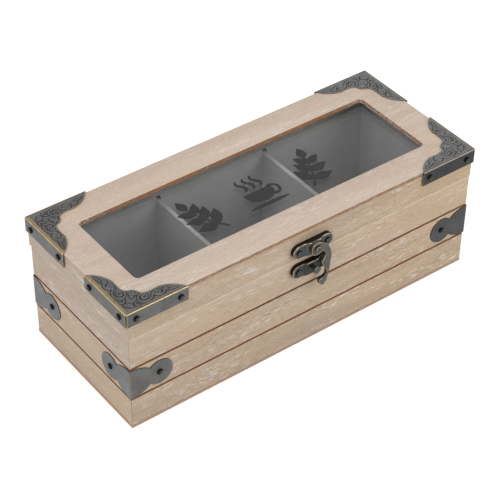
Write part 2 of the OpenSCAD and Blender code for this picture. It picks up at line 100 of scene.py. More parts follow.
# The box's pieces of wood
COURSES = ("lower", "middle", "upper")
OUTWARD = {
    "front": Vector((0, -1, 0)),
    "back": Vector((0, 1, 0)),
    "left": Vector((-1, 0, 0)),
    "right": Vector((1, 0, 0)),
}
GRAIN = {"front": "X", "back": "X", "left": "Y", "right": "Y"}
WOOD_EASE = 0.3 * MM
RIM_EASE = 0.5 * MM
LID_EASE = 0.2 * MM
PANEL_EASE = 0.25 * MM
BOARD_EASE = 0.25 * MM
BASE_EASE = 0.12 * MM
SAME_PLANE = 0.5 * MM

# Fittings
METAL = 0.5 * MM
FOLD_R = 0.7 * MM
FLANGE_H = 9.3 * MM
SLIT = 0.7 * MM
CORNER_LEG = 39.5
CORNER_BAND = 9.6
CORNER_BUMP = 14.5
STRAP_FOLD = 0.55 * MM
STRAP_EASE = 0.12 * MM
SMALL_EASE = 0.16 * MM
HOOK_EASE = 0.26 * MM
SCREW_EASE = 0.08 * MM

# Least depth of the floor of a screw's cross below its tip
CROSS_DEPTH = 0.2 * MM
# Share of a screw head's radius painted grey as the lit face of its dome
LIT_DOME_SHARE = 0.66

# Relief of the lid corners, in millimetres
RELIEF_STEP = 0.22
RELIEF_WIDTH = 0.44
TROUGH_AT = 0.78
TROUGH_WIDTH = 0.24
RELIEF_RISE = 0.17
TROUGH_DEPTH = 0.3
FIELD_SINK = 0.13
FIELD_BORDER = 2.7
WEAR_REACH = 2.9
CREST_WIDTH = 0.2
GROOVE_AT = 0.95

# Print on the glass
PRINT_T = 0.04 * MM
PRINT_GAP = 0.01 * MM

# How sharp an edge must be to count as one, and to be shaded as one
EASED_ANGLE = math.radians(30)
SHADED_ANGLE = math.radians(24)
FLAT_ANGLE = math.radians(1.5)
WELD = 2e-6

# Linear colours
TAN = (0.63, 0.46, 0.305)
TAN_DEEP = (0.54, 0.385, 0.25)
PINK = (0.64, 0.48, 0.36)
SIDE_TAN = (0.60, 0.455, 0.33)
SIDE_PINK = (0.60, 0.475, 0.40)
TOP_PINK = (0.61, 0.465, 0.365)
TOP_CREAM = (0.65, 0.525, 0.425)
GREY_TAN = (0.45, 0.375, 0.30)
PORE = (0.27, 0.205, 0.155)
WHITEWASH = (0.84, 0.81, 0.79)
CREAM = (0.80, 0.66, 0.49)
OLD_WASH = (0.56, 0.50, 0.46)
RAW_BROWN = (0.42, 0.195, 0.085)
RIM_BROWN = (0.37, 0.185, 0.09)
LIP_BROWN = (0.34, 0.175, 0.09)
BASE_BROWN = (0.62, 0.42, 0.30)
GREY_PAINT = (0.48, 0.48, 0.48)
GREY_WORN = (0.56, 0.53, 0.51)
BRONZE = (0.125, 0.125, 0.122)
# Top of the right lid corners, painted lighter as lit
BRONZE_PAINTED_LIT_TOP = (0.165, 0.166, 0.166)
# Side legs of the left straps, painted lighter as lit
BRONZE_PAINTED_LIT_SIDE = (0.152, 0.156, 0.160)
# Dark patina of the relief's troughs, and painted shade on strap rims and latch plate sides
PATINA_AND_SHADE_DARK = (0.016, 0.016, 0.017)
# Right straps, painted darker as shade
STRAP_PAINTED_SHADE = (0.062, 0.063, 0.064)
# Flanges of the right lid corners, painted darker as shade
FLANGE_PAINTED_SHADE = (0.034, 0.036, 0.038)
LATCH_GREY = (0.075, 0.079, 0.083)
# Catch plate, painted darker as the hook's shadow
CATCH_PAINTED_SHADOW_GREY = (0.040, 0.040, 0.041)
HOOK_GREY = (0.088, 0.085, 0.081)
BRASS = (0.78, 0.58, 0.27)
BRASS_DULL = (0.30, 0.215, 0.115)
# Black of the screws, which also paints the shade round their sides and in their crosses
BLACK_AND_SHADE_METAL = (0.006, 0.006, 0.006)
# Lit middle of a screw head's dome, painted grey as its light
HEAD_PAINTED_LIT_GREY = (0.10, 0.10, 0.10)
PRINT_INK = (0.017, 0.017, 0.017)


class Graph:
    """One material and short names for the nodes in it."""

    def __init__(self, name):
        self.material = bpy.data.materials.new(name)
        self.material.use_nodes = True
        self.tree = self.material.node_tree
        self.tree.nodes.clear()
        self.place = None

    def feed(self, socket, value):
        if isinstance(value, bpy.types.NodeSocket):
            self.tree.links.new(value, socket)
        elif socket.type == "RGBA":
            socket.default_value = (*value, 1.0)
        else:
            socket.default_value = value

    def node(self, kind, inputs=None, **settings):
        made = self.tree.nodes.new(kind)
        for name, value in settings.items():
            setattr(made, name, value)
        for name, value in (inputs or {}).items():
            self.feed(made.inputs[name], value)
        return made

    def math(self, operation, a, b=0.0, clamp=False):
        return self.node("ShaderNodeMath", {0: a, 1: b}, operation=operation, use_clamp=clamp).outputs[0]

    def mix(self, share, a, b, blend="MIX"):
        """Colour mix; sockets 6 and 7 are the two colours."""
        made = self.node("ShaderNodeMix", data_type="RGBA", blend_type=blend)
        for socket, value in ((0, share), (6, a), (7, b)):
            self.feed(made.inputs[socket], value)
        return made.outputs[2]

    def level(self, value, low, high, out_low=0.0, out_high=1.0):
        """Smooth step of value from low to high."""
        inputs = {0: value, 1: low, 2: high, 3: out_low, 4: out_high}
        return self.node("ShaderNodeMapRange", inputs, interpolation_type="SMOOTHSTEP").outputs[0]

    def points(self):
        if self.place is None:
            self.place = self.node("ShaderNodeTexCoord").outputs["Object"]
        return self.place

    def axes(self):
        return self.node("ShaderNodeSeparateXYZ", {0: self.points()}).outputs

    def noise(self, scales, seed=0.0, detail=2.0, rough=0.5, bend=0.0):
        """Noise with scales[i] features a metre along axis i."""
        moved = self.node("ShaderNodeMapping", {
            "Vector": self.points(),
            "Location": (7.13 * seed, 3.71 * seed, 5.37 * seed),
            "Scale": scales,
        }).outputs[0]
        inputs = {"Vector": moved, "Scale": 1.0, "Detail": detail, "Roughness": rough, "Distortion": bend}
        return self.node("ShaderNodeTexNoise", inputs).outputs[0]

    def grain(self, axis, along, across, seed, **more):
        """Noise drawn out along the X or the Y axis."""
        scales = (along, across, across) if axis == "X" else (across, along, across)
        return self.noise(scales, seed, **more)

    def attribute(self, name):
        return self.node("ShaderNodeAttribute", attribute_name=name).outputs["Fac"]

    def bump(self, height, depth, strength=1.0):
        inputs = {"Height": height, "Distance": depth, "Strength": strength}
        return self.node("ShaderNodeBump", inputs).outputs[0]

    def surface(self, shader):
        output = self.node("ShaderNodeOutputMaterial")
        self.tree.links.new(shader, output.inputs["Surface"])
        return self.material

    def principled(self, **inputs):
        named = {name.replace("_", " "): value for name, value in inputs.items()}
        return self.surface(self.node("ShaderNodeBsdfPrincipled", named).outputs[0])


def wood_layers(g, axis, seed, tones, streaks, wash, band=None):
    """Colour and height of washed wood: tones, streaks, pores and flecks of white."""
    tone = g.level(g.grain(axis, 9, 120, seed, detail=3), 0.36, 0.64)
    colour = g.mix(tone, tones[0], tones[1])
    cloud = g.level(g.grain(axis, 30, 160, seed + 1, detail=3), 0.45, 0.7)
    colour = g.mix(g.math("MULTIPLY", cloud, 0.55), colour, tones[2])
    speck = g.noise((1250, 1250, 1250), seed + 10, detail=3, rough=0.8)
    pale = g.level(speck, 0.50, 0.66, 0.0, 0.36)
    colour = g.mix(pale, colour, WHITEWASH)
    colour = g.mix(g.level(speck, 0.34, 0.49, 0.34, 0.0), colour, GREY_TAN)
    fine = g.grain(axis, 230, 1700, seed + 2, detail=3, rough=0.75)
    lines = g.level(fine, 0.42, 0.60)
    colour = g.mix(g.math("MULTIPLY", lines, 0.42 * streaks, clamp=True), colour, GREY_TAN)
    broad = g.level(g.grain(axis, 24, 600, seed + 3, detail=2), 0.50, 0.68)
    colour = g.mix(g.math("MULTIPLY", broad, 0.36 * streaks, clamp=True), colour, TAN_DEEP)
    pore = g.level(g.grain(axis, 300, 1900, seed + 4, detail=2, rough=0.6), 0.57, 0.65)
    where = g.level(g.grain(axis, 14, 110, seed + 5), 0.38, 0.60)
    pores = g.math("MULTIPLY", pore, g.math("MULTIPLY", where, 0.5 * streaks, clamp=True))
    colour = g.mix(pores, colour, PORE)
    fleck = g.level(g.grain(axis, 130, 1500, seed + 6, detail=2, rough=0.6), 0.555, 0.625)
    zone = g.level(g.grain(axis, 20, 110, seed + 7), 0.42, 0.60)
    if band:
        low, high, reach = band
        z = g.axes()[2]
        near_low = g.level(z, low, low + reach, 1.0, 0.0)
        near_high = g.level(z, high - reach, high, 0.0, 1.0)
        near = g.math("MAXIMUM", near_low, near_high)
        zone = g.math("MAXIMUM", zone, g.math("MULTIPLY", near, 0.7))
    flecks = g.math("MULTIPLY", fleck, g.math("MULTIPLY", zone, wash, clamp=True))
    colour = g.mix(flecks, colour, WHITEWASH)
    height = g.math("SUBTRACT", g.math("MULTIPLY", fine, 0.5), pores)
    return colour, height, flecks


def warmed(g, colour):
    """Tan that grows warmer towards the right end of the box."""
    share = g.level(g.axes()[0], 0.0, CAD_HIGH.x, 0.0, 0.5)
    return g.mix(share, colour, g.mix(1.0, colour, (1.06, 0.99, 0.84), "MULTIPLY"))


def washed_wood(name, axis, seed, tones=(TAN, TAN_DEEP, PINK), streaks=1.0, wash=0.8, band=None, warm=False):
    g = Graph(name)
    colour, height, flecks = wood_layers(g, axis, seed, tones, streaks, wash, band)
    if warm:
        colour = warmed(g, colour)
    return g.principled(
        Base_Color=colour,
        Roughness=g.level(flecks, 0.0, 1.0, 0.62, 0.8),
        Specular_IOR_Level=0.3,
        Normal=g.bump(height, 0.25 * MM, 0.6),
    )


def pale_edge(name, axis, seed, tones, share=0.75, pale=WHITEWASH):
    """Eased edge of a washed board, paler than its face in patches."""
    g = Graph(name)
    colour, height, flecks = wood_layers(g, axis, seed, tones, 0.6, 0.9)
    pale_share = g.level(g.grain(axis, 35, 500, seed + 8, detail=3), 0.36, 0.52, 0.15, share)
    return g.principled(
        Base_Color=g.mix(pale_share, colour, pale),
        Roughness=0.75,
        Specular_IOR_Level=0.25,
        Normal=g.bump(height, 0.2 * MM, 0.5),
    )


def fibreboard(name, seed, colour, patches=0.0, axis="X"):
    """Raw brown board, with fine fibres and patches of white wash."""
    g = Graph(name)
    fibre = g.noise((1500, 1500, 2600), seed, detail=3, rough=0.7)
    cloud = g.noise((70, 70, 160), seed + 1, detail=3)
    dark = tuple(0.62 * c for c in colour)
    made = g.mix(g.level(fibre, 0.35, 0.65), dark, colour)
    made = g.mix(g.level(cloud, 0.4, 0.65, 0.0, 0.35), made, tuple(0.75 * c for c in colour))
    if patches:
        x, y, _ = g.axes()
        far = g.level(g.math("ABSOLUTE", x), 74 * MM, 97 * MM, 0.0, patches)
        spots = g.noise((520, 520, 900), seed + 2, detail=3, rough=0.7)
        white = g.level(g.math("ADD", spots, g.math("MULTIPLY", far, 0.1)), 0.58, 0.66)
        made = g.mix(g.math("MULTIPLY", white, 0.8), made, OLD_WASH)
    return g.principled(
        Base_Color=made,
        Roughness=g.level(fibre, 0.3, 0.7, 0.75, 0.92),
        Specular_IOR_Level=0.2,
        Normal=g.bump(fibre, 0.15 * MM, 0.6),
    )


def panel_lip(name, axis, seed, tones):
    """Outer edge of the lid's panel: brown board above, washed over below."""
    g = Graph(name)
    colour, height, flecks = wood_layers(g, axis, seed, tones, 1.0, 0.8)
    fibre = g.noise((1500, 1500, 2600), seed, detail=3, rough=0.7)
    brown = g.mix(g.level(fibre, 0.35, 0.65), tuple(0.7 * c for c in LIP_BROWN), LIP_BROWN)
    ragged = g.math("MULTIPLY", g.noise((60, 60, 400), seed + 9, detail=3), 1.2 * MM)
    height_up = g.math("ADD", g.axes()[2], ragged)
    share = g.level(height_up, CAD_HIGH.z - 2.1 * MM, CAD_HIGH.z - 1.2 * MM, 0.12, 0.88)
    washed = g.level(g.grain(axis, 300, 900, seed + 11, detail=3, rough=0.7), 0.50, 0.62, 0.0, 0.55)
    brown = g.mix(washed, brown, OLD_WASH)
    return g.principled(
        Base_Color=g.mix(share, colour, brown),
        Roughness=0.8,
        Specular_IOR_Level=0.25,
        Normal=g.bump(height, 0.2 * MM, 0.5),
    )


def grey_board(name, axis, seed, colour=GREY_PAINT, worn=0.0):
    """Thin board stained grey, with its grain just showing."""
    g = Graph(name)
    fine = g.grain(axis, 90, 1500, seed, detail=3, rough=0.6)
    cloud = g.noise((40, 40, 40), seed + 1, detail=3)
    made = g.mix(g.level(fine, 0.35, 0.65), tuple(0.84 * c for c in colour), colour)
    made = g.mix(g.level(cloud, 0.4, 0.65, 0.0, 0.3), made, tuple(1.18 * c for c in colour))
    if worn:
        rubbed = g.grain(axis, 60, 900, seed + 2, detail=3, rough=0.6)
        made = g.mix(g.level(rubbed, 0.42, 0.62, 0.35 * worn, worn), made, GREY_WORN)
    return g.principled(
        Base_Color=made,
        Roughness=g.level(cloud, 0.3, 0.7, 0.6, 0.72),
        Specular_IOR_Level=0.35,
        Normal=g.bump(fine, 0.15 * MM, 0.4),
    )


def patina(g, colour, seed):
    """Speckled colour of aged metal, and the fine noise behind it."""
    speck = g.noise((1900, 1900, 1900), seed, detail=3, rough=0.7)
    cloud = g.noise((130, 130, 130), seed + 1, detail=4, rough=0.6)
    made = g.mix(g.level(speck, 0.32, 0.62), tuple(0.6 * c for c in colour), colour)
    made = g.mix(g.level(cloud, 0.40, 0.68, 0.0, 0.45), made, tuple(1.4 * c for c in colour))
    return made, speck


def metal_surface(g, colour, speck, roughness):
    return g.principled(
        Base_Color=colour,
        Metallic=0.85,
        Roughness=g.level(speck, 0.25, 0.75, roughness - 0.07, roughness + 0.1),
        Normal=g.bump(speck, 0.06 * MM, 0.5),
    )


def aged_metal(name, seed, colour=BRONZE, wear=0.0, roughness=0.42, bare=BRASS):
    """Dark patinated metal, with patches of bare metal showing through."""
    g = Graph(name)
    made, speck = patina(g, colour, seed)
    if wear:
        patch = g.level(g.noise((380, 380, 380), seed + 2, detail=3, rough=0.7), 0.38, 0.60, 0.1, 1.0)
        made = g.mix(g.math("MULTIPLY", patch, wear), made, bare)
    return metal_surface(g, made, speck, roughness)


def relief_metal(name, seed, top, flange, wear, band):
    """Embossed corner: the attributes of its mesh say where it is worn, dull, sunk, raised or folded down.
    Raised strokes get a painted highlight, and the right corners are given a painted lighter top and a
    painted shade on the flange.
    """
    g = Graph(name)
    made, speck = patina(g, top, seed)
    below, _ = patina(g, flange, seed + 5)
    made = g.mix(g.attribute("flange"), made, below)
    patch = g.level(g.noise((420, 420, 420), seed + 2, detail=3, rough=0.7), 0.30, 0.56, 0.45, 1.0)
    dull = g.math("MULTIPLY", g.attribute("band"), g.math("MULTIPLY", patch, band), clamp=True)
    made = g.mix(dull, made, BRASS_DULL)
    # Raised strokes painted lighter: a painted highlight on the relief
    made = g.mix(g.math("MULTIPLY", g.attribute("ridge"), 0.35), made, tuple(1.5 * c for c in top))
    made = g.mix(g.attribute("recess"), made, PATINA_AND_SHADE_DARK)
    bare = g.math("MULTIPLY", g.attribute("wear"), g.math("MULTIPLY", patch, wear), clamp=True)
    made = g.mix(bare, made, BRASS)
    return metal_surface(g, made, speck, 0.42)


def window_glass():
    """Clear pane: it mirrors more the flatter one looks at it, the same from both sides."""
    g = Graph("glass_clear")
    facing = g.node("ShaderNodeLayerWeight", {"Blend": 0.5}).outputs["Facing"]
    share = g.math("ADD", g.math("MULTIPLY", g.math("POWER", facing, 5.0), 0.96), 0.022, clamp=True)
    film = g.noise((25, 25, 25), 3.0, detail=4)
    tint = g.mix(g.level(film, 0.3, 0.7), (0.965, 0.968, 0.966), (0.985, 0.987, 0.986))
    clear = g.node("ShaderNodeBsdfTransparent", {"Color": tint})
    rough = g.level(film, 0.35, 0.75, 0.01, 0.05)
    mirror = g.node("ShaderNodeBsdfGlossy", {"Color": (1, 1, 1), "Roughness": rough})
    made = g.node("ShaderNodeMixShader", {0: share, 1: clear.outputs[0], 2: mirror.outputs[0]})
    return g.surface(made.outputs[0])


def print_ink():
    """Dark screen print on the glass, with small pinholes in its gloss."""
    g = Graph("print_ink")
    grain = g.noise((900, 900, 900), 1.0, detail=3)
    return g.principled(
        Base_Color=g.mix(g.level(grain, 0.3, 0.7), PRINT_INK, tuple(1.8 * c for c in PRINT_INK)),
        Roughness=g.level(grain, 0.3, 0.7, 0.3, 0.42),
        Specular_IOR_Level=0.22,
        Normal=g.bump(grain, 0.02 * MM, 0.3),
    )


def cad_form(node):
    """Editable copy of a CAD node, with the triangles of each flat face joined."""
    form = bmesh.new()
    form.from_mesh(frame["nodes"][node].data)
    bmesh.ops.remove_doubles(form, verts=form.verts, dist=WELD)
    bmesh.ops.dissolve_limit(form, angle_limit=FLAT_ANGLE, verts=form.verts, edges=form.edges)
    return form


def ease(form, width, wanted=lambda edge: True, slot=-1, segments=2):
    """Rounds the outer edges that are wanted."""
    edges = [
        e for e in form.edges
        if len(e.link_faces) == 2 and e.calc_face_angle_signed(0) > EASED_ANGLE and wanted(e)
    ]
    bmesh.ops.bevel(
        form, geom=edges, offset=width, offset_type="OFFSET", segments=segments,
        profile=0.5, affect="EDGES", clamp_overlap=True, material=slot,
    )
    form.normal_update()


def middle(edge):
    return (edge.verts[0].co + edge.verts[1].co) / 2


def add_piece(form, name, body, materials, nodes=()):
    """Turns a form into a shown piece that rides on a body and stands for CAD nodes."""
    for edge in form.edges:
        edge.smooth = len(edge.link_faces) == 2 and edge.calc_face_angle(0) < SHADED_ANGLE
    for face in form.faces:
        face.smooth = True
    mesh = bpy.data.meshes.new(name)
    form.to_mesh(mesh)
    form.free()
    for material in materials:
        mesh.materials.append(material)
    made = bpy.data.objects.new(name, mesh)
    bpy.context.scene.collection.objects.link(made)
    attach(made, body)
    if nodes:
        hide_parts(*nodes)
    return made


def stand_for(form, node, materials):
    """Piece in the place of one CAD node, on that node's body."""
    return add_piece(form, node + "_look", frame["nodes"][node]["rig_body"], materials, [node])


# The slots of a wooden piece's materials
FACE, RAW, EDGE, INNER = range(4)

grey_inner = grey_board("grey_inner", "X", 40)


def outer_plane(form, out):
    return max(v.co.dot(out) for v in form.verts)


def dress_slat(side, course, seed, tones, streaks, wash):
    node = f"{side}_{course}_slat"
    out = OUTWARD[side]
    low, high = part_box(node)
    form = cad_form(node)
    plane = outer_plane(form, out)
    for face in form.faces:
        outside = face.normal.dot(out) > 0.9 and plane - face.calc_center_median().dot(out) < SAME_PLANE
        rim = course == "upper" and face.normal.z > 0.9
        face.material_index = FACE if outside or rim else RAW

    def outer(edge):
        return plane - middle(edge).dot(out) < SAME_PLANE

    def at_rim(edge):
        return course == "upper" and high.z - middle(edge).z < SAME_PLANE

    ease(form, RIM_EASE, lambda e: outer(e) and at_rim(e))
    ease(form, WOOD_EASE, lambda e: outer(e) and not at_rim(e)
         and any(f.material_index == FACE for f in e.link_faces))
    for face in form.faces:
        across = face.normal.dot(out)
        if across > 0.15 and 0.15 < abs(face.normal.z) < 0.97:
            at_top = high.z - face.calc_center_median().z < RIM_EASE
            face.material_index = EDGE if course == "upper" and at_top else RAW
    axis = GRAIN[side]
    bottom = high.z - 20.4 * MM if course != "lower" else low.z
    reach = (bottom, high.z, 3.5 * MM)
    warm = side == "front"
    materials = [
        washed_wood(node + "_wood", axis, seed, tones, streaks, wash, reach, warm),
        fibreboard(node + "_groove", seed, RAW_BROWN),
        pale_edge(node + "_edge", axis, seed, tones, 0.9, CREAM),
    ]
    return stand_for(form, node, materials)


def dress_rail(side, seed, tones, streaks, wash):
    node = f"lid_{side}_rail"
    out = OUTWARD[side]
    low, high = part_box(node)
    form = cad_form(node)
    plane = outer_plane(form, out)
    for face in form.faces:
        inward = face.normal.dot(out) < -0.3 or face.calc_center_median().z > low.z + 13 * MM
        face.material_index = FACE
        if inward and face.normal.dot(out) < 0.9:
            face.material_index = INNER
    ease(form, LID_EASE, lambda e: plane - middle(e).dot(out) < SAME_PLANE
         and middle(e).z < high.z - SAME_PLANE)
    axis = GRAIN[side]
    reach = (low.z, high.z + 3 * MM, 4 * MM)
    materials = [
        washed_wood(node + "_wood", axis, seed, tones, streaks, wash, reach, side == "front"),
        fibreboard(node + "_raw", seed, RAW_BROWN),
        pale_edge(node + "_edge", axis, seed, tones, 0.9),
        grey_inner,
    ]
    return stand_for(form, node, materials)


def dress_panel():
    """Top panel: washed above, brown at the window and along the front and back edges."""
    node = "lid_panel"
    low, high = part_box(node)
    form = cad_form(node)
    top, lip, side, window, edge, under, side_edge = range(7)

    def to_side(centre):
        return min(centre.x - low.x, high.x - centre.x)

    def to_front_or_back(centre):
        return min(centre.y - low.y, high.y - centre.y)

    for face in form.faces:
        normal, centre = face.normal, face.calc_center_median()
        if normal.z > 0.9:
            face.material_index = top
        elif normal.z < -0.9:
            face.material_index = under
        elif to_front_or_back(centre) < SAME_PLANE:
            face.material_index = lip
        elif to_side(centre) < SAME_PLANE:
            face.material_index = side
        else:
            face.material_index = window
    ease(form, PANEL_EASE, lambda e: middle(e).z > low.z + SAME_PLANE)
    for face in form.faces:
        centre = face.calc_center_median()
        if 0.15 < face.normal.z < 0.97:
            outer = min(to_side(centre), to_front_or_back(centre)) < 2 * PANEL_EASE
            long_side = abs(face.normal.y) > abs(face.normal.x)
            face.material_index = (lip if long_side else side_edge) if outer else edge
    tones = (TOP_PINK, TOP_CREAM, PINK)
    materials = [
        washed_wood("panel_top", "X", 61, tones, 0.3, 0.45),
        panel_lip("panel_lip", "X", 64, (TAN, TAN_DEEP, PINK)),
        washed_wood("panel_side", "Y", 66, (PINK, GREY_TAN, PINK), 0.8, 1.0),
        fibreboard("panel_window", 68, RIM_BROWN, patches=1.0),
        pale_edge("panel_edge", "X", 70, tones, 0.5, CREAM),
        grey_inner,
        pale_edge("panel_side_edge", "Y", 72, tones, 0.6),
    ]
    return stand_for(form, node, materials)


def dress_bottom():
    node = "bottom_board"
    form = cad_form(node)
    for face in form.faces:
        face.material_index = 1 if face.normal.z > 0.9 else 0
    ease(form, BASE_EASE, lambda e: middle(e).z < 1.5 * MM)
    return stand_for(form, node, [fibreboard("base_board", 80, BASE_BROWN), grey_inner])


def dress_inner(node, axis, seed, top_worn):
    """Grey liner or divider. Its rim is rubbed, and its slots show the brown board."""
    low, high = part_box(node)
    form = cad_form(node)
    body, rim, slot = range(3)
    for face in form.faces:
        centre = face.calc_center_median()
        if face.normal.z > 0.9:
            face.material_index = rim
        elif "liner" in node and axis == "X" and (
            abs(face.normal.x) > 0.9 and high.x - abs(centre.x) > SAME_PLANE
            or abs(face.normal.y) > 0.9 and low.y + SAME_PLANE < centre.y < high.y - SAME_PLANE
        ):
            face.material_index = slot
    ease(form, BOARD_EASE, lambda e: middle(e).z > high.z - SAME_PLANE, rim)
    materials = [
        grey_board(node + "_paint", axis, seed),
        grey_board(node + "_rim", axis, seed + 3, worn=top_worn),
        fibreboard(node + "_slot", seed, tuple(0.5 * c for c in RAW_BROWN)),
    ]
    return stand_for(form, node, materials)


def dress_metal(node, width, materials, segments=2, worn=1):
    """Small metal piece with its edges eased and rubbed bright."""
    form = cad_form(node)
    ease(form, width, slot=worn, segments=segments)
    return stand_for(form, node, materials)


def dress_latch_plate(node, materials):
    """Latch plate: its upright sides are painted darker than its face, as painted shade."""
    form = cad_form(node)
    for face in form.faces:
        face.material_index = 0 if face.normal.y < -0.8 else 2
    ease(form, SMALL_EASE, lambda e: any(f.normal.y < -0.6 for f in e.link_faces), 1)
    return stand_for(form, node, materials)


def dress_strap(node, materials):
    """Corner strap folded round the box: its fold shows brass, its legs take the colours given, which are lit
    and shaded copies of one bronze, and its rim is painted dark as shade.
    """
    front_leg, side_leg, bright, rim = range(4)
    low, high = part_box(node)
    form = cad_form(node)
    corner_x = low.x if abs(low.x) > abs(high.x) else high.x
    corner_y = low.y if abs(low.y) > abs(high.y) else high.y
    for face in form.faces:
        flat_x, flat_y = abs(face.normal.x) > 0.99, abs(face.normal.y) > 0.99
        face.material_index = side_leg if flat_x else front_leg if flat_y else rim

    def at_fold(edge):
        m = middle(edge)
        upright = abs((edge.verts[0].co - edge.verts[1].co).normalized().z) > 0.9
        return upright and abs(m.x - corner_x) < 0.1 * MM and abs(m.y - corner_y) < 0.1 * MM

    ease(form, STRAP_FOLD, at_fold, bright, 4)
    ease(form, STRAP_EASE, lambda e: e.calc_face_angle(0) > math.radians(60), rim, 1)
    return stand_for(form, node, materials)


def islands(form):
    """Groups of faces that hang together."""
    left = set(form.faces)
    while left:
        group, reach = set(), [left.pop()]
        while reach:
            face = reach.pop()
            group.add(face)
            for edge in face.edges:
                for other in edge.link_faces:
                    if other in left:
                        left.discard(other)
                        reach.append(other)
        yield group


def dress_screws(node, materials):
    """Cross head screws: a dome painted grey as its lit face, black in the cross and round the side as the
    screw's black with painted shade, and painted glints on the edges between.
    """
    dome, black, glint = range(3)
    form = cad_form(node)
    low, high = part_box(node)
    centre = (low + high) / 2
    for group in islands(form):
        corners = [v.co for face in group for v in face.verts]
        inner = Vector([min(c[i] for c in corners) for i in range(3)])
        outer = Vector([max(c[i] for c in corners) for i in range(3)])
        place = (inner + outer) / 2
        size = outer - inner
        axis = max(range(3), key=lambda i: size[i])
        out = Vector()
        out[axis] = 1 if place[axis] > 0 else -1
        tip = max(c.dot(out) for c in corners)
        radius = sorted(size)[1] / 2
        for face in group:
            from_tip = face.calc_center_median() - place
            depth = tip - place.dot(out) - from_tip.dot(out)
            off_axis = (from_tip - from_tip.dot(out) * out).length
            ahead = face.normal.dot(out)
            sunk = ahead > 0.995 and depth > CROSS_DEPTH
            face.material_index = dome if ahead > 0.25 and not sunk and off_axis < LIT_DOME_SHARE * radius else black
    ease(form, SCREW_EASE, lambda e: {f.material_index for f in e.link_faces} == {dome, black}, glint, 1)
    return stand_for(form, node, materials)


def bend(a, b, c, steps):
    """Quadratic curve from a to c, pulled towards b, without its last point."""
    t = np.arange(steps)[:, None] / steps
    return (1 - t) ** 2 * np.array(a) + 2 * t * (1 - t) * np.array(b) + t ** 2 * np.array(c)


def corner_half():
    """Half of a lid corner's inner outline, from the leg's tip to the diagonal, in millimetres."""
    leg, band, bump = CORNER_LEG, CORNER_BAND, CORNER_BUMP
    return np.concatenate([
        bend((leg, 0), (leg - 4.2, band - 1.8), (leg - 12.5, band), 8),
        bend((leg - 12.5, band), (leg - 17, band - 0.3), (bump + 5.5, band - 0.1), 3),
        bend((bump + 5.5, band - 0.1), (bump + 1.7, band + 0.3), (bump + 1.1, bump - 1.6), 5),
        [(bump + 1.1, bump - 1.6), (bump + 0.4, bump - 0.2)],
    ])


def spiral(centre, r_start, r_end, start, turns, steps=40):
    """Points from radius r_start to r_end round a centre; start is in degrees, turns may be negative."""
    t = np.linspace(0, 1, steps)
    angle = math.radians(start) + turns * 2 * math.pi * t
    radius = r_start + (r_end - r_start) * t ** 0.8
    return np.stack([centre[0] + radius * np.cos(angle), centre[1] + radius * np.sin(angle)], 1)


def arc_through(points, steps=8):
    """Smooth open curve through points."""
    p = np.array([points[0], *points, points[-1]], float)
    t = np.linspace(0, 1, steps, endpoint=False)[:, None]
    runs = [
        0.5 * (2 * b + (c - a) * t + (2 * a - 5 * b + 4 * c - d) * t ** 2
               + (3 * b - a - 3 * c + d) * t ** 3)
        for a, b, c, d in zip(p, p[1:], p[2:], p[3:])
    ]
    return np.concatenate([*runs, p[-1:]])


def scroll_strokes():
    """Lines of the scrollwork in one lid corner, in millimetres: half of it, mirrored on the diagonal."""
    half = [
        spiral((16.0, 7.3), 3.0, 0.5, 165, -1.35),
        arc_through([(13.1, 8.0), (12.3, 5.8), (13.6, 4.0), (16.6, 3.4), (19.6, 4.6), (21.2, 7.0)]),
        spiral((23.9, 6.0), 2.2, 0.5, 150, -1.2),
        arc_through([(21.6, 7.0), (22.6, 4.3), (25.2, 3.6), (27.4, 4.6)]),
        spiral((28.9, 5.6), 1.5, 0.5, 205, -0.95),
        arc_through([(30.4, 4.2), (32.4, 3.9), (34.4, 3.3)]),
        arc_through([(14.4, 10.9), (12.3, 12.6), (10.4, 14.3)], 6)[:10],
        arc_through([(10.9, 6.3), (9.4, 5.0), (9.4, 3.6), (10.8, 3.5)]),
        spiral((7.0, 5.0), 1.4, 0.5, 60, 0.85, 20),
        arc_through([(10.2, 10.2), (11.4, 12.4), (14.2, 14.0)]),
    ]
    return half + [line[:, ::-1] for line in half]


def distance_to(lines, points):
    """Least distance from each point to the lines."""
    least = np.full(len(points), 1e3)
    for line in lines:
        for a, b in zip(line, line[1:]):
            run = b - a
            share = np.clip((points - a) @ run / max(run @ run, 1e-12), 0, 1)
            least = np.minimum(least, np.linalg.norm(points - a - share[:, None] * run, axis=1))
    return least


def inside(outline, points):
    """True for the points inside a closed outline."""
    found = np.zeros(len(points), bool)
    x, y = points[:, 0], points[:, 1]
    for (ax, ay), (bx, by) in zip(outline, np.roll(outline, -1, axis=0)):
        if ay != by:
            crossing = ax + (y - ay) / (by - ay) * (bx - ax)
            found ^= ((ay > y) != (by > y)) & (x < crossing)
    return found


def resampled(outline, step):
    """Closed outline with points no further apart than step."""
    made = []
    for a, b in zip(outline, np.roll(outline, -1, axis=0)):
        count = max(1, math.ceil(np.linalg.norm(b - a) / step))
        made += [a + (b - a) * k / count for k in range(count)]
    return np.array(made)


def smooth_step(value, low, high):
    t = np.clip((value - low) / (high - low), 0, 1)
    return t * t * (3 - 2 * t)


def folded(w, radius):
    """Place along the top and drop below it, of a sheet that folds down before w = 0."""
    turn = radius * math.pi / 2
    along = radius - w
    angle = np.clip(along / radius, 0, math.pi / 2)
    place = np.where(w >= radius, w, radius - radius * np.sin(angle))
    drop = np.where(w >= radius, 0, radius - radius * np.cos(angle)) + np.maximum(along - turn, 0)
    return place, drop


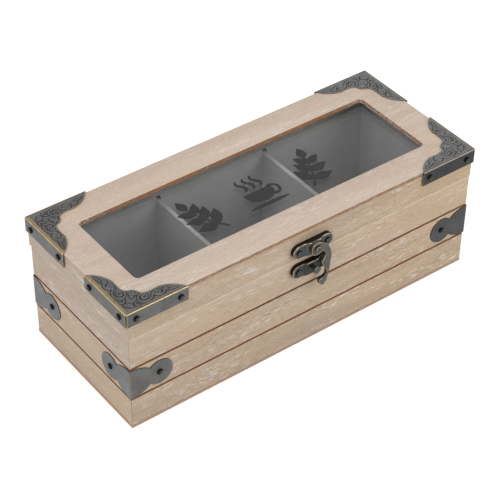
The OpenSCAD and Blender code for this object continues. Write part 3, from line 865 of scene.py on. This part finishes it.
def corner_pattern():
    """Flat pattern of a lid corner in millimetres: its points, triangles and attributes."""
    radius, slit = FOLD_R / MM, SLIT / MM
    flange = FLANGE_H / MM - radius * (2 - math.pi / 2)
    half = corner_half()
    inner = np.concatenate([half, half[::-1, ::-1]])
    flange_b = np.array([(-flange, CORNER_LEG), (-flange, slit), (0, slit)])
    outline = np.concatenate([inner, flange_b, [(0.25, 0.25)], flange_b[::-1, ::-1]])
    edge = resampled(outline, 0.3)
    fold_rows = np.linspace(radius, radius * (1 - math.pi / 2), 7)
    rows = np.concatenate([fold_rows, np.arange(-1, -flange + 0.3, -0.9), [-flange + 0.3]])
    columns = np.concatenate([[slit + 0.3], np.arange(slit + 0.9, CORNER_LEG - 0.6, 0.6), [CORNER_LEG - 0.3]])
    steps = np.arange(radius + RELIEF_STEP, CORNER_LEG, RELIEF_STEP)
    top = np.stack(np.meshgrid(steps, steps), -1).reshape(-1, 2)
    side_a = np.stack(np.meshgrid(columns, rows), -1).reshape(-1, 2)
    grid = np.concatenate([top, side_a, side_a[:, ::-1]])
    closed = np.concatenate([edge, edge[:1]])
    grid = grid[inside(edge, grid)]
    grid = grid[distance_to([closed], grid) > 0.13]
    loop = list(range(len(edge)))
    given = [Vector(p) for p in np.concatenate([edge, grid])]
    points, _, faces, *_ = delaunay_2d_cdt(given, [], [loop], 1, 1e-6)
    points = np.array([tuple(p) for p in points])
    border = distance_to([closed], points)
    return points, faces, border


def corner_sheet(points, border):
    """Folded places of the pattern's points, with wear, recess and ridge values."""
    radius = FOLD_R / MM
    u, v = points[:, 0], points[:, 1]
    x, drop_u = folded(u, radius)
    y, drop_v = folded(v, radius)
    to_fold = np.minimum(u, v)
    on_top = smooth_step(to_fold, FIELD_BORDER - 0.5, FIELD_BORDER + 0.2)
    field = on_top * smooth_step(border, 0.5, 1.1)
    away = distance_to(scroll_strokes(), points)
    ridge = np.exp(-((away / RELIEF_WIDTH) ** 2))
    trough = np.exp(-(((away - TROUGH_AT) / TROUGH_WIDTH) ** 2))
    lift = field * (RELIEF_RISE * ridge - TROUGH_DEPTH * trough - FIELD_SINK * (1 - ridge))
    fold_line = radius * (1 - math.pi / 4)
    crest = np.exp(-(((to_fold - fold_line) / CREST_WIDTH) ** 2))
    drop = drop_u + drop_v
    rim = (0.5 + 0.4 * (drop > 0.8)) * (1 - smooth_step(border, 0.08, 0.34))
    at_side = smooth_step(v - u, -0.3, 0.3)
    band = (0.3 + 0.7 * at_side) * (1 - smooth_step(to_fold, 1.6, WEAR_REACH)) * (to_fold > fold_line)
    groove = 0.75 * (1 - at_side) * np.exp(-(((to_fold - GROOVE_AT) / 0.2) ** 2))
    places = np.stack([x, y, np.minimum(lift, 0) - drop], 1) * MM
    values = {
        "wear": np.clip(np.maximum(crest, rim), 0, 1),
        "band": band,
        "recess": np.minimum(np.maximum(1.25 * field * trough, groove), 1),
        "ridge": field * ridge,
        "flange": smooth_step(drop, 0.3, 0.8),
    }
    return places, values


def set_attribute(mesh, name, values):
    mesh.attributes.new(name, "FLOAT", "POINT").data.foreach_set("value", values.astype(np.float32))


def lid_corners(metal, rim):
    """The four embossed corners of the lid, folded from one pattern."""
    points, faces, border = corner_pattern()
    places, values = corner_sheet(points, border)
    for sx, x_name in ((-1, "left"), (1, "right")):
        for sy, y_name in ((-1, "front"), (1, "back")):
            node = f"{y_name}_{x_name}_corner"
            low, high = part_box(node)
            edge_x = high.x if sx > 0 else low.x
            edge_y = high.y if sy > 0 else low.y
            corner = np.array([edge_x, edge_y, high.z])
            turned = places * (-sx, -sy, 1) + corner
            order = faces if sx * sy > 0 else [f[::-1] for f in faces]
            mesh = bpy.data.meshes.new(node + "_sheet")
            mesh.from_pydata(turned.tolist(), [], order)
            for name, value in values.items():
                set_attribute(mesh, name, value)
            mesh.materials.append(metal[x_name])
            mesh.materials.append(rim)
            mesh.shade_smooth()
            made = bpy.data.objects.new(node + "_look", mesh)
            bpy.context.scene.collection.objects.link(made)
            thick = made.modifiers.new("sheet", "SOLIDIFY")
            thick.thickness = METAL
            thick.offset = -1
            thick.material_offset_rim = 1
            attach(made, "lid")
            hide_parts(node)


def ribbon(line, widths):
    """Closed outline of a stroke along a line, with a width at each point."""
    run = np.gradient(line, axis=0)
    run /= np.linalg.norm(run, axis=1)[:, None]
    across = np.stack([-run[:, 1], run[:, 0]], 1) * np.array(widths)[:, None] / 2
    return np.concatenate([line - across, (line + across)[::-1]])


def tapered(count, most, least=0.25):
    return least + (most - least) * np.sin(np.linspace(0.12, 1, count) * math.pi) ** 0.6


def leaf(root, angle, length, width):
    """Pointed leaf as a closed outline."""
    t = np.linspace(0, 1, 18)
    swell = np.sin(math.pi * t ** 0.8) ** 1.1 * width / 2
    turn = np.array([[math.cos(angle), math.sin(angle)], [-math.sin(angle), math.cos(angle)]])
    outline = np.concatenate([
        np.stack([t * length, -swell], 1),
        np.stack([t * length, swell], 1)[-2:0:-1],
    ])
    return outline @ turn + root


def leaf_sprig(foot, tip, lean):
    """Stem from foot to tip with pairs of leaves and one at its end."""
    foot, tip = np.array(foot, float), np.array(tip, float)
    belly = (foot + tip) / 2 + np.array([lean, 0])
    stem = np.concatenate([bend(foot, belly, tip, 24), [tip]])
    shapes = [ribbon(stem, np.linspace(1.8, 0.9, len(stem)))]
    for k in range(3):
        at = stem[5 + 6 * k]
        ahead = stem[6 + 6 * k] - at
        heading = math.atan2(ahead[1], ahead[0])
        for side in (1, -1):
            shapes.append(leaf(at, heading + side * (1.0 - 0.1 * k), 13.6 - 1.6 * k, 7.0 - 0.6 * k))
    ending = stem[-1] - stem[-3]
    shapes.append(leaf(tip - ending, math.atan2(ending[1], ending[0]), 10.0, 6.0))
    return shapes


def cup_shapes(centre):
    """A cup with a handle on a saucer, and three curls of steam."""
    t = np.linspace(0, math.pi, 28)
    bowl = np.stack([-9.2 * np.cos(t), -10.0 * np.sin(t) ** 0.55], 1)
    handle = spiral((8.6, -3.9), 4.0, 4.0, 118, -0.72, 26)
    turn = np.linspace(0, 2 * math.pi, 40, endpoint=False)
    saucer = np.stack([13.5 * np.cos(turn), -13.0 + 1.5 * np.sin(turn)], 1)
    shapes = [bowl, ribbon(handle, np.full(26, 1.9)), saucer]
    for x in (-5.0, 0.0, 5.0):
        rise = np.linspace(0, 1, 24)
        wave = np.stack([x + 1.5 * np.sin(rise * 2 * math.pi), 2.6 + 11.0 * rise], 1)
        shapes.append(ribbon(wave, tapered(24, 2.3)))
    return [s + np.array(centre) for s in shapes]


def glass_print(ink):
    """Leaf sprigs on both sides of a steaming cup, printed on the pane as one thin skin."""
    low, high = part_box("glass_pane")
    centre = (low + high) / 2
    shapes = leaf_sprig((-32, -19), (-44, 7), -4)
    shapes += cup_shapes((-2, -3.0))
    shapes += leaf_sprig((27, -19), (39, 7), 4)
    points, loops = [], []
    for shape in shapes:
        loops.append(list(range(len(points), len(points) + len(shape))))
        points += [Vector(p) for p in shape]
    flat, _, faces, _, _, owners = delaunay_2d_cdt(points, [], loops, 1, 1e-5)
    form = bmesh.new()
    z = high.z + PRINT_GAP
    verts = [form.verts.new((centre.x + p.x * MM, centre.y + p.y * MM, z)) for p in flat]
    made = [form.faces.new([verts[i] for i in face]) for face, owner in zip(faces, owners) if owner]
    bmesh.ops.delete(form, geom=[v for v in verts if not v.link_faces], context="VERTS")
    skin = bmesh.ops.extrude_face_region(form, geom=made)["geom"]
    upper = [v for v in skin if isinstance(v, bmesh.types.BMVert)]
    bmesh.ops.translate(form, verts=upper, vec=(0, 0, PRINT_T))
    bmesh.ops.recalc_face_normals(form, faces=form.faces)
    return add_piece(form, "glass_print", "lid", [ink])


def build_wood():
    """Slats, rails, panel, bottom, liners and dividers."""
    front = {
        "lower": ((TAN, TAN_DEEP, GREY_TAN), 1.1, 1.0),
        "middle": ((TAN, TAN_DEEP, PINK), 1.25, 0.8),
        "upper": ((TAN, PINK, TAN), 0.9, 0.55),
    }
    sides = {
        "lower": ((TAN, SIDE_TAN, TAN_DEEP), 0.6, 0.6),
        "middle": ((SIDE_TAN, TAN, TAN_DEEP), 0.6, 0.5),
        "upper": ((SIDE_PINK, SIDE_TAN, GREY_TAN), 0.7, 0.9),
    }
    for s, side in enumerate(OUTWARD):
        looks = front if side in ("front", "back") else sides
        for c, course in enumerate(COURSES):
            dress_slat(side, course, 11 * s + 3 * c + 1, *looks[course])
    dress_rail("front", 51, (TAN, TAN_DEEP, PINK), 0.9, 0.7)
    dress_rail("back", 53, (TAN, PINK, TAN_DEEP), 0.9, 0.7)
    dress_rail("left", 55, (SIDE_PINK, SIDE_TAN, GREY_TAN), 0.8, 1.2)
    dress_rail("right", 57, (SIDE_PINK, SIDE_TAN, TAN_DEEP), 0.8, 0.9)
    dress_panel()
    dress_bottom()
    for k, side in enumerate(OUTWARD):
        dress_inner(f"{side}_liner", GRAIN[side], 90 + 4 * k, 0.35)
    for k, side in enumerate(("left", "right")):
        dress_inner(f"{side}_divider", "Y", 110 + 4 * k, 0.8)


def build_metal():
    """Corners, straps, latch, hinges and screws."""
    plain = aged_metal("bronze", 1)
    # Side legs of the left straps are painted lighter, as lit
    side = aged_metal("bronze_painted_lit_side", 13, BRONZE_PAINTED_LIT_SIDE)
    # Right straps are painted darker, as shade
    dark = aged_metal("bronze_strap_painted_shade", 11, STRAP_PAINTED_SHADE)
    fold = aged_metal("bronze_worn", 2, wear=0.55, bare=BRASS_DULL)
    worn = aged_metal("bronze_edge", 14, LATCH_GREY, wear=0.6)
    rubbed = aged_metal("bronze_rubbed", 3, wear=0.3)
    # Painted shade on strap rims and latch plate sides
    shade_metal = aged_metal("bronze_painted_shade", 4, PATINA_AND_SHADE_DARK)
    # Screws: black with painted shade, a painted lit grey dome and painted glints
    black = aged_metal("screw_black_and_shade", 8, BLACK_AND_SHADE_METAL, roughness=0.5)
    head = aged_metal("screw_head_painted_light", 15, HEAD_PAINTED_LIT_GREY, roughness=0.34)
    glint = aged_metal("screw_edge_painted_glint", 9, tuple(2.4 * c for c in HEAD_PAINTED_LIT_GREY), roughness=0.3)
    relief = {
        "left": relief_metal("bronze_relief", 5, BRONZE, BRONZE, 1.0, 1.0),
        # Right corners: painted lighter top and painted shade on the flange
        "right": relief_metal("bronze_relief_painted_light", 5, BRONZE_PAINTED_LIT_TOP, FLANGE_PAINTED_SHADE, 0.35, 0.3),
    }
    rim = aged_metal("bronze_rim", 6, tuple(0.5 * c for c in BRONZE), wear=0.5, bare=BRASS_DULL)
    lid_corners(relief, rim)
    for y_name in ("front", "back"):
        dress_strap(f"{y_name}_left_strap", [plain, side, fold, shade_metal])
        dress_strap(f"{y_name}_right_strap", [dark, dark, rubbed, shade_metal])
    for node in ("corner_screws", "strap_screws"):
        dress_screws(node, [head, black, glint])
    for node in ("latch_plate_screws", "catch_plate_screws", "hinge_body_screws", "hinge_lid_screws"):
        dress_screws(node, [head, black, glint])
    dress_latch_plate("latch_plate", [aged_metal("latch_face", 12, LATCH_GREY), worn, shade_metal])
    # Catch plate painted darker, as the hook's shadow
    dress_latch_plate("catch_plate", [aged_metal("catch_face_painted_shadow", 16, CATCH_PAINTED_SHADOW_GREY), worn, shade_metal])
    dress_metal("latch_hook", HOOK_EASE, [aged_metal("bronze_hook", 7, HOOK_GREY, roughness=0.36), worn])
    for node in ("latch_pivot", "catch_post"):
        dress_metal(node, SMALL_EASE, [aged_metal(node + "_metal", 12, LATCH_GREY), worn])
    for x_name in ("left", "right"):
        for part in ("hinge_body_leaf", "hinge_lid_leaf", "hinge_pin"):
            dress_metal(f"{x_name}_{part}", SMALL_EASE, [plain, rubbed])


def build_glass():
    pane = frame["nodes"]["glass_pane"]
    pane.data.materials.clear()
    pane.data.materials.append(window_glass())
    glass_print(print_ink())


def seen_share(g):
    """1 for what the camera sees, straight on, mirrored or through glass, and 0 for light on things."""
    path = g.node("ShaderNodeLightPath").outputs
    seen = g.math("MAXIMUM", path["Is Camera Ray"], path["Is Glossy Ray"])
    return g.math("MAXIMUM", seen, path["Is Transmission Ray"])


def build_floor():
    """Pale floor that keeps a soft shadow under the box."""
    form = bmesh.new()
    bmesh.ops.create_grid(form, x_segments=8, y_segments=8, size=3)
    mesh = bpy.data.meshes.new("floor")
    form.to_mesh(mesh)
    form.free()
    floor = bpy.data.objects.new("floor", mesh)
    bpy.context.scene.collection.objects.link(floor)
    g = Graph("floor_white")
    diffuse = g.node("ShaderNodeBsdfDiffuse", {"Color": (0.72, 0.72, 0.72)})
    strength = g.math("MULTIPLY", seen_share(g), FLOOR_GLOW)
    glow = g.node("ShaderNodeEmission", {"Color": (1, 1, 1), "Strength": strength})
    both = g.node("ShaderNodeAddShader", {0: diffuse.outputs[0], 1: glow.outputs[0]})
    mesh.materials.append(g.surface(both.outputs[0]))


def build_world():
    world = bpy.data.worlds.new("studio")
    bpy.context.scene.world = world
    world.use_nodes = True
    g = Graph.__new__(Graph)
    g.tree, g.place = world.node_tree, None
    g.tree.nodes.clear()
    strength = g.math("ADD", g.math("MULTIPLY", seen_share(g), WORLD_SEEN - WORLD_LIGHT), WORLD_LIGHT)
    sky = g.node("ShaderNodeBackground", {"Color": (1, 1, 1), "Strength": strength})
    output = g.node("ShaderNodeOutputWorld")
    g.tree.links.new(sky.outputs[0], output.inputs["Surface"])


def build_lamps():
    for name, place, width, power in LAMPS:
        light = bpy.data.lights.new(name, "AREA")
        light.shape = "SQUARE"
        light.size = width
        light.energy = power
        lamp = bpy.data.objects.new(name, light)
        lamp.location = place
        lamp.rotation_euler = (-Vector(place)).to_track_quat("-Z", "Y").to_euler()
        bpy.context.scene.collection.objects.link(lamp)


def build_camera():
    lens = bpy.data.cameras.new("camera")
    lens.lens = CAMERA_LENS
    lens.sensor_width = 36
    camera = bpy.data.objects.new("camera", lens)
    camera.location = CAMERA_PLACE
    camera.rotation_euler = [math.radians(angle) for angle in CAMERA_TURN]
    bpy.context.scene.collection.objects.link(camera)
    bpy.context.scene.camera = camera


build_camera()
build_world()
build_lamps()
build_floor()
build_wood()
build_metal()
build_glass()

bpy.context.scene.view_settings.view_transform = "Standard"
